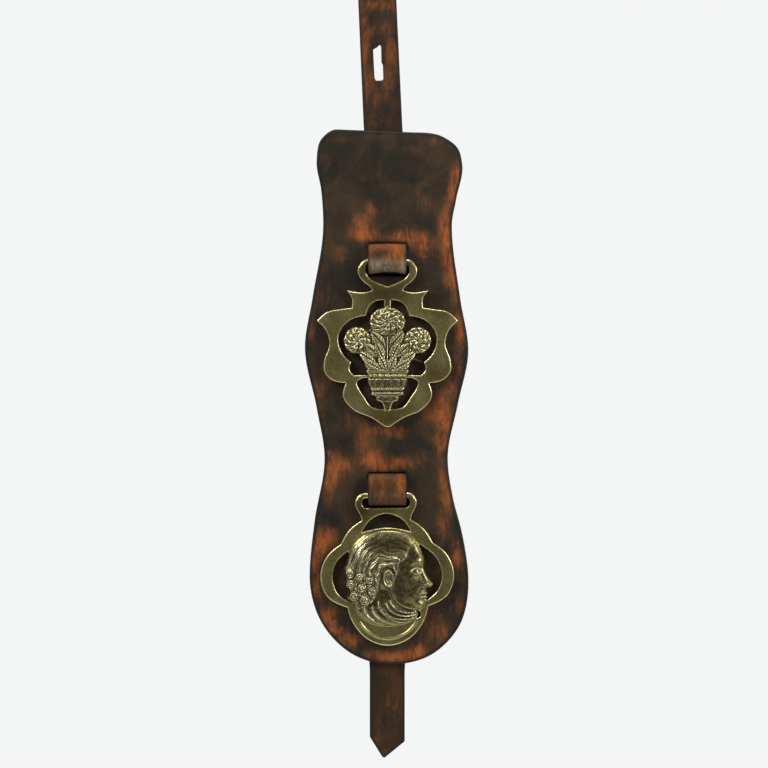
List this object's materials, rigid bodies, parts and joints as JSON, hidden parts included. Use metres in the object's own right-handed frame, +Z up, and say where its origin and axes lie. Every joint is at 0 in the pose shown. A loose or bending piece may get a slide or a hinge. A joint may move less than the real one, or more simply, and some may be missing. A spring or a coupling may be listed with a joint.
{
  "type": "harness strap with horse brasses",
  "caption": "Shaped leather harness panel on a woven leather strap, with cast brass ornaments hung one above the other on the strap's loops.",
  "frame": {"origin": "centre of the buckle-tongue slot in the strap's top end, halfway through the leather", "axes": "+Z up along the hanging strap, -Y out of the front with the brasses, +X to the right of someone who looks at the front"},
  "size_m": [0.0868, 0.0137, 0.4375],
  "materials": {
    "strap_leather": "dark brown harness leather, worn rust-brown on the bridges",
    "panel_leather": "near-black brown harness leather with rust-orange worn patches",
    "cast_brass": "dull olive-gold cast brass, polished on edges and high points"
  },
  "bodies": {
    "strap_head": {"strap_top": "strap_leather"},
    "panel": {"leather_panel": "panel_leather", "strap_woven": "strap_leather"},
    "upper_brass": {"upper_horse_brass": "cast_brass"},
    "lower_brass": {"lower_horse_brass": "cast_brass"},
    "tail": {"strap_tail": "strap_leather"}
  },
  "joints": [
    {"name": "panel_bend", "type": "hinge", "parent": "strap_head", "child": "panel", "pos_m": [0.0048, 0, -0.0348], "axis": [1, 0, 0], "range_deg": [-90, 90]},
    {"name": "upper_brass_swing", "type": "hinge", "parent": "panel", "child": "upper_brass", "pos_m": [0.0049, -0.0073, -0.1064], "axis": [-1, 0, 0], "range_deg": [0, 120]},
    {"name": "lower_brass_swing", "type": "hinge", "parent": "panel", "child": "lower_brass", "pos_m": [0.004, -0.0073, -0.2299], "axis": [-0.9998, 0, -0.0192], "range_deg": [0, 105]},
    {"name": "tail_bend", "type": "hinge", "parent": "panel", "child": "tail", "pos_m": [0.0048, 0, -0.3216], "axis": [1, 0, 0], "range_deg": [-90, 90]}
  ]
}
